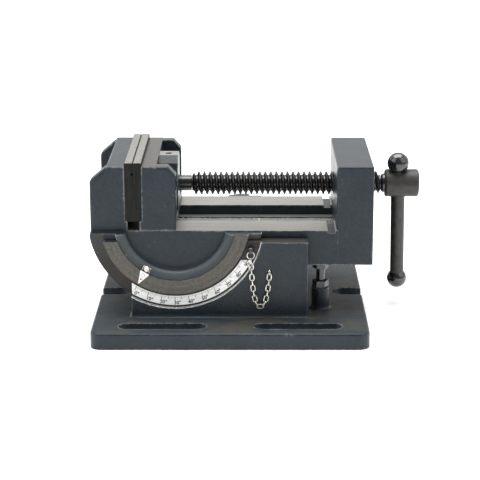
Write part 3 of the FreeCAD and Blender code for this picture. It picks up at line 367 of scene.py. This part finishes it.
def black_gloss_recipe(shader):
    spot = spot_of(shader)
    haze = spot.point.noise(180, 3)
    colour = haze.above(0.3, 0.7).mixed(rgb(0.006, 0.007, 0.008), rgb(0.012, 0.013, 0.014))
    facing = relief(shader, 0.15, 0.05, haze)
    return {"Base Color": colour, "Roughness": 0.10 + haze * 0.08, "Normal": facing,
            "Specular IOR Level": 0.7, "Coat Weight": 0.3, "Coat Roughness": 0.05}


def bright_metal(name, dark, light, roughness):
    """Bare bright steel or plating, with fine streaks and a little tarnish."""

    def recipe(shader):
        spot = spot_of(shader)
        tarnish = spot.point.noise(500, 3)
        fine = spot.point.noise(3500, 2)
        colour = tarnish.above(0.3, 0.7).mixed(dark, light)
        facing = relief(shader, 0.2, 0.02, fine)
        return {"Base Color": colour, "Metallic": 1.0, "Roughness": roughness + tarnish * 0.15,
                "Normal": facing}

    return material(name, recipe)


def enamel_recipe(shader):
    spot = spot_of(shader)
    stain = spot.point.noise(400, 4)
    grain = spot.point.noise(1800, 3)
    white = stain.above(0.35, 0.8).mixed(rgb(0.95, 0.95, 0.94), rgb(0.78, 0.78, 0.76))
    facing = relief(shader, 0.2, 0.03, grain)
    return {"Base Color": white, "Roughness": 0.38 + grain * 0.12, "Normal": facing}


def pointer_recipe(shader):
    """White enamel on the leaf's outer face, bright plate on its edges and tab."""
    spot = spot_of(shader)
    leaf = spot.side.above(RING_FACE_MM + 0.5, RING_FACE_MM + 0.7)
    grain = spot.point.noise(1500, 3)
    white = grain.above(0.3, 0.8).mixed(rgb(0.95, 0.94, 0.93), rgb(0.74, 0.73, 0.72))
    plate = grain.above(0.45, 0.62).mixed(rgb(0.07, 0.068, 0.062), rgb(0.42, 0.41, 0.38))
    return {"Base Color": leaf.mixed(plate, white), "Metallic": 1.0 - leaf,
            "Roughness": 0.22 + grain * 0.2}


def ink(name, colour, faded):
    def recipe(shader):
        spot = spot_of(shader)
        patchy = spot.point.noise(2600, 2).above(0.35, 0.75)
        return {"Base Color": patchy.mixed(colour, faded), "Roughness": 0.5 + patchy * 0.1}

    return material(name, recipe)


jaw_plate_steel = material("jaw_plate_steel", jaw_plate_recipe)
black_oxide = material("black_oxide_steel", black_oxide_recipe)
dark_steel = material("dark_satin_steel", dark_steel_recipe)
black_gloss = material("black_gloss_knob", black_gloss_recipe)
scale_enamel = material("white_scale_enamel", enamel_recipe)
bare_steel = bright_metal("bare_pin_steel", rgb(0.30, 0.29, 0.27), rgb(0.46, 0.45, 0.42), 0.24)
nickel = bright_metal("nickel_plate", rgb(0.42, 0.40, 0.35), rgb(0.66, 0.64, 0.58), 0.16)
mark_ink = ink("scale_ink", rgb(0.012, 0.012, 0.012), rgb(0.07, 0.07, 0.07))
faint_ink = ink("pointer_grey", rgb(0.22, 0.22, 0.22), rgb(0.45, 0.45, 0.45))
red_ink = ink("pointer_red", rgb(0.55, 0.006, 0.020), rgb(0.60, 0.03, 0.05))

FINISHES = {
    "base": cast_iron("cradle_casting", base_cuts, 0.9),
    "vise_body": cast_iron("vise_casting", vise_cuts, 0.15),
    "moving_jaw": cast_iron("moving_jaw_casting", moving_jaw_cuts, 0.2),
    "fixed_jaw_plate": jaw_plate_steel,
    "moving_jaw_plate": jaw_plate_steel,
    "fixed_plate_screws": black_oxide,
    "moving_plate_screws": black_oxide,
    "keeper_screws": black_oxide,
    "jaw_retaining_screw": black_oxide,
    "jaw_keeper_plate": bare_steel,
    "spindle_head": dark_steel,
    "handle_bar": dark_steel,
    "handle_knob_top": black_gloss,
    "handle_knob_bottom": black_gloss,
    "stop_screw": black_oxide,
    "stop_lock_nut": black_oxide,
    "tilt_lock_bolt": black_oxide,
    "index_pin": black_oxide,
    "pin_ring": nickel,
    "chain_eye": nickel,
    "pointer_screw": nickel,
    "angle_scale": scale_enamel,
    "angle_pointer": material("pointer_enamel", pointer_recipe),
}

for node_name, chosen in FINISHES.items():
    nodes[node_name].material_slots[0].material = chosen


# ---- pieces made here ----

def piece_from(name, mesh, finish, body):
    """A finished piece in the row frame that rides on a body."""
    mesh.materials.clear()
    mesh.materials.append(finish)
    piece = bpy.data.objects.new(name, mesh)
    bpy.context.scene.collection.objects.link(piece)
    if body:
        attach(piece, body)
    return piece


THREAD_PITCH_MM = 4.0
THREAD_OUTER_MM = 8.55
THREAD_ROOT_MM = 5.75
THREAD_START_MM = 10.0
THREAD_END_MM = 146.0
# one turn of the thread from root to root: share of the pitch, share of the depth
THREAD_SHAPE = [(0.0, 0.0), (0.10, 0.02), (0.20, 0.22), (0.32, 0.72), (0.40, 0.93),
                (0.50, 1.0), (0.60, 0.93), (0.68, 0.72), (0.80, 0.22), (0.90, 0.02)]
# places along the screw and radii there, in millimetres
SHAFT_BEFORE = [(-11.6, 0.0), (-11.6, 5.1), (-11.0, 5.65), (-8.7, 5.65), (-8.7, 4.0), (-4.7, 4.0),
                (-4.7, 5.65), (9.0, 5.65), (9.6, 5.7)]
SHAFT_AFTER = [(146.6, 5.9), (147.6, 6.9), (149.2, 6.9), (170.6, 6.9), (170.6, 0.0)]
AROUND = 48


def thread_point(along, turn, depth_share):
    """A point of the thread's surface, fading into the shaft at both of its ends."""
    clamped = min(max(along, THREAD_START_MM), THREAD_END_MM)
    fade_in = min(1.0, (clamped - THREAD_START_MM) / 2.2)
    fade_out = min(1.0, (THREAD_END_MM - clamped) / 1.6)
    depth = (THREAD_OUTER_MM - THREAD_ROOT_MM) * depth_share * fade_in * fade_out
    radius = THREAD_ROOT_MM + depth
    return shaft_point(clamped, turn, radius)


def shaft_point(along, turn, radius):
    return TILT_CENTRE + Vector((along, radius * math.cos(turn),
                                 SCREW_AXIS_MM + radius * math.sin(turn))) * MM


def lead_screw_mesh():
    """The whole lead screw: plain shaft, right-hand thread, plain end."""
    form = bmesh.new()
    rows = []
    for along, radius in SHAFT_BEFORE:
        rows.append([form.verts.new(shaft_point(along, math.tau * k / AROUND, radius))
                     for k in range(AROUND)])
    join_rings(form, rows)
    turns = int((THREAD_END_MM - THREAD_START_MM) / THREAD_PITCH_MM) + 3
    per_turn = len(THREAD_SHAPE)
    first = THREAD_START_MM - 1.5 * THREAD_PITCH_MM
    grid = []
    for row in range(turns * per_turn):
        share, depth = THREAD_SHAPE[row % per_turn]
        start = first + (row // per_turn + share) * THREAD_PITCH_MM
        grid.append([form.verts.new(thread_point(start + THREAD_PITCH_MM * k / AROUND,
                                                 math.tau * k / AROUND, depth))
                     for k in range(AROUND)])
    for row in range(len(grid) - 1):
        for k in range(AROUND):
            onward = row if k < AROUND - 1 else row + per_turn
            if onward + 1 >= len(grid):
                continue
            step = (k + 1) % AROUND
            form.faces.new((grid[row][k], grid[onward][step], grid[onward + 1][step],
                            grid[row + 1][k]))
    after = []
    for along, radius in SHAFT_AFTER:
        after.append([form.verts.new(shaft_point(along, math.tau * k / AROUND, radius))
                      for k in range(AROUND)])
    join_rings(form, after)
    bmesh.ops.remove_doubles(form, verts=form.verts, dist=0.002 * MM)
    return finished_mesh("lead_screw_thread", form)


def join_rings(form, rings):
    for near_ring, far_ring in zip(rings, rings[1:]):
        for k in range(len(near_ring)):
            step = (k + 1) % len(near_ring)
            form.faces.new((near_ring[k], near_ring[step], far_ring[step], far_ring[k]))


def finished_mesh(name, form, smooth_below=40):
    """A mesh from the form, smooth except across edges sharper than smooth_below degrees."""
    bmesh.ops.recalc_face_normals(form, faces=form.faces)
    mesh = bpy.data.meshes.new(name)
    form.to_mesh(mesh)
    form.free()
    for face in mesh.polygons:
        face.use_smooth = True
    mesh.set_sharp_from_angle(angle=math.radians(smooth_below))
    return mesh


screw = piece_from("lead_screw_turned", lead_screw_mesh(), black_oxide, "spindle")
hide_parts("lead_screw")

chain_mesh = nodes["retaining_chain"].data.copy()
chain = piece_from("retaining_chain_links", chain_mesh, nickel, None)
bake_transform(chain)
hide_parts("retaining_chain")


# ---- printed marks ----

INK_MM = 0.04
NUMBER_HEIGHT_MM = 2.5
NUMBER_RADIUS_MM = 58.0
TICK_START_MM = SCALE_INNER_MM + 0.5
TICK_LONG_MM = 3.0
TICK_HALF_MM = 1.9
TICK_SHORT_MM = 1.1


def on_scale(radius, degrees, height_mm):
    """A point over the scale's face, at an angle from straight down."""
    turn = math.radians(degrees)
    return TILT_CENTRE + Vector((radius * math.sin(turn), SCALE_FACE_MM - height_mm,
                                 -radius * math.cos(turn))) * MM


def slab(form, corners, thickness):
    """A thin solid with the given front corners; it goes back towards +Y by thickness."""
    front = [form.verts.new(corner) for corner in corners]
    back = [form.verts.new(corner + Vector((0, thickness, 0))) for corner in corners]
    form.faces.new(front)
    form.faces.new(back[::-1])
    for number in range(len(front)):
        after = (number + 1) % len(front)
        form.faces.new((front[number], back[number], back[after], front[after]))


def tick(form, degrees, inner, outer, width):
    lean = math.degrees(width / 2 / ((inner + outer) / 2))
    corners = [on_scale(inner, degrees - lean, 0.03), on_scale(inner, degrees + lean, 0.03),
               on_scale(outer, degrees + lean, 0.03), on_scale(outer, degrees - lean, 0.03)]
    slab(form, corners, 0.05 * MM)


def number_mesh(text, height_mm):
    """A number as a flat mesh, its middle at the origin, upright in the XY plane."""
    curve = bpy.data.curves.new("number", "FONT")
    curve.body = text
    curve.size = height_mm * MM / 0.7
    curve.align_x = "CENTER"
    curve.align_y = "CENTER"
    curve.offset = 0.09 * MM
    curve.extrude = 0.02 * MM
    holder = bpy.data.objects.new("number", curve)
    mesh = bpy.data.meshes.new_from_object(holder)
    bpy.data.objects.remove(holder)
    return mesh


def scale_marks():
    form = bmesh.new()
    for degree in range(91):
        length = TICK_SHORT_MM
        if degree % 10 == 0:
            length = TICK_LONG_MM
        elif degree % 5 == 0:
            length = TICK_HALF_MM
        width = 0.34 if degree % 5 == 0 else 0.17
        tick(form, SCALE_ZERO_DEGREES + degree, TICK_START_MM, TICK_START_MM + length, width)
    for degree in range(0, 91, 10):
        label = number_mesh(f"{degree}\N{DEGREE SIGN}", NUMBER_HEIGHT_MM)
        # the numbers start just past their ticks and are nearly level with them by 90
        beside = SCALE_ZERO_DEGREES + degree + 2.4 - degree / 45
        turn = math.radians(beside)
        upright = Matrix.Rotation(math.radians(90), 4, "X")
        spin = Matrix.Rotation(-turn, 4, "Y")
        place = Matrix.Translation(on_scale(NUMBER_RADIUS_MM, beside, 0.02))
        label.transform(place @ spin @ upright)
        form.from_mesh(label)
        bpy.data.meshes.remove(label)
    return finished_mesh("scale_marks", form)


piece_from("angle_scale_marks", scale_marks(), mark_ink, "cradle")


def pointer_ring(radius, inner, outer):
    """A flat ring, or a disc where inner is 0, on the pointer's leaf at a radius from the tilt."""
    form = bmesh.new()
    turn = math.radians(POINTER_DEGREES)
    middle = TILT_CENTRE + Vector((radius * math.sin(turn), POINTER_FACE_MM,
                                   -radius * math.cos(turn))) * MM
    around = 24
    turns = [math.tau * k / around for k in range(around)]
    rings = []
    for reach, height in ((inner, 0.0), (inner, INK_MM), (outer, INK_MM), (outer, 0.0)):
        rings.append([form.verts.new(middle + Vector((reach * math.cos(spin), -height,
                                                      reach * math.sin(spin))) * MM)
                      for spin in turns])
    join_rings(form, rings + rings[:1])
    bmesh.ops.remove_doubles(form, verts=form.verts, dist=0.001 * MM)
    return finished_mesh("pointer_mark", form)


piece_from("pointer_red_dot", pointer_ring(47.0, 0.0, 0.62), red_ink, "vise")
piece_from("pointer_maker_ring", pointer_ring(43.9, 1.0, 1.25), faint_ink, "vise")


# ---- stand, light and camera ----

ROOM_FRONT = rgb(0.26, 0.26, 0.27)
ROOM_BACK = rgb(1.06, 1.06, 1.05)
LIGHT_TARGET = Vector((0.0, 0.0, 0.06))
# name, place and size in metres, power in watts
SOFTBOXES = (("overhead_softbox", (0.0, 0.15, 1.25), (1.3, 0.9), 24.0),
             ("left_softbox", (-1.1, -0.6, 0.9), (1.2, 1.2), 7.0),
             ("right_softbox", (1.1, -0.6, 0.9), (1.2, 1.2), 6.0))

VIEW_PLACE = (0.0159, -1.167, 0.3684)
VIEW_DOWN_DEGREES = 15.24
VIEW_LENS_MM = 124.1
VIEW_SENSOR_MM = 36.0
VIEW_SHIFT = -0.0277


def studio():
    floor_form = bmesh.new()
    bmesh.ops.create_grid(floor_form, x_segments=1, y_segments=1, size=12)
    floor_mesh = bpy.data.meshes.new("floor")
    floor_form.to_mesh(floor_mesh)
    floor_form.free()

    def pale(shader):
        spot = spot_of(shader)
        shade = spot.point.noise(3, 2).mixed(rgb(0.93, 0.93, 0.93), rgb(0.95, 0.95, 0.95))
        return {"Base Color": shade, "Roughness": 0.8, "Emission Color": shade,
                "Emission Strength": 0.25}

    floor_mesh.materials.append(material("pale_floor", pale))
    floor = bpy.data.objects.new("floor", floor_mesh)
    bpy.context.scene.collection.objects.link(floor)

    world = bpy.data.worlds.new("white_room")
    world.use_nodes = True
    world.node_tree.nodes.clear()
    room = Wire(world.node_tree)
    way = room.node("ShaderNodeTexCoord", {}, {}, "Generated")
    to_back = room.node("ShaderNodeSeparateXYZ", {}, {"Vector": way}, "Y")
    light = to_back.above(-0.75, 0.4).mixed(ROOM_FRONT, ROOM_BACK)
    glow = room.node("ShaderNodeBackground", {}, {"Color": light, "Strength": 1.0})
    room.node("ShaderNodeOutputWorld", {}, {"Surface": glow}, None)
    bpy.context.scene.world = world

    for name, place, size, power in SOFTBOXES:
        lamp = bpy.data.lights.new(name, "AREA")
        lamp.shape = "RECTANGLE"
        lamp.size, lamp.size_y = size
        lamp.energy = power
        holder = bpy.data.objects.new(name, lamp)
        holder.location = place
        aim = LIGHT_TARGET - Vector(place)
        holder.rotation_euler = aim.to_track_quat("-Z", "Y").to_euler()
        bpy.context.scene.collection.objects.link(holder)


def camera():
    lens = bpy.data.cameras.new("front_view")
    lens.lens = VIEW_LENS_MM
    lens.sensor_width = VIEW_SENSOR_MM
    lens.shift_x = VIEW_SHIFT
    lens.clip_end = 50
    holder = bpy.data.objects.new("front_view", lens)
    holder.location = VIEW_PLACE
    holder.rotation_euler = (math.radians(90 - VIEW_DOWN_DEGREES), 0, 0)
    bpy.context.scene.collection.objects.link(holder)
    bpy.context.scene.camera = holder


studio()
camera()
bpy.context.scene.view_settings.view_transform = "Standard"
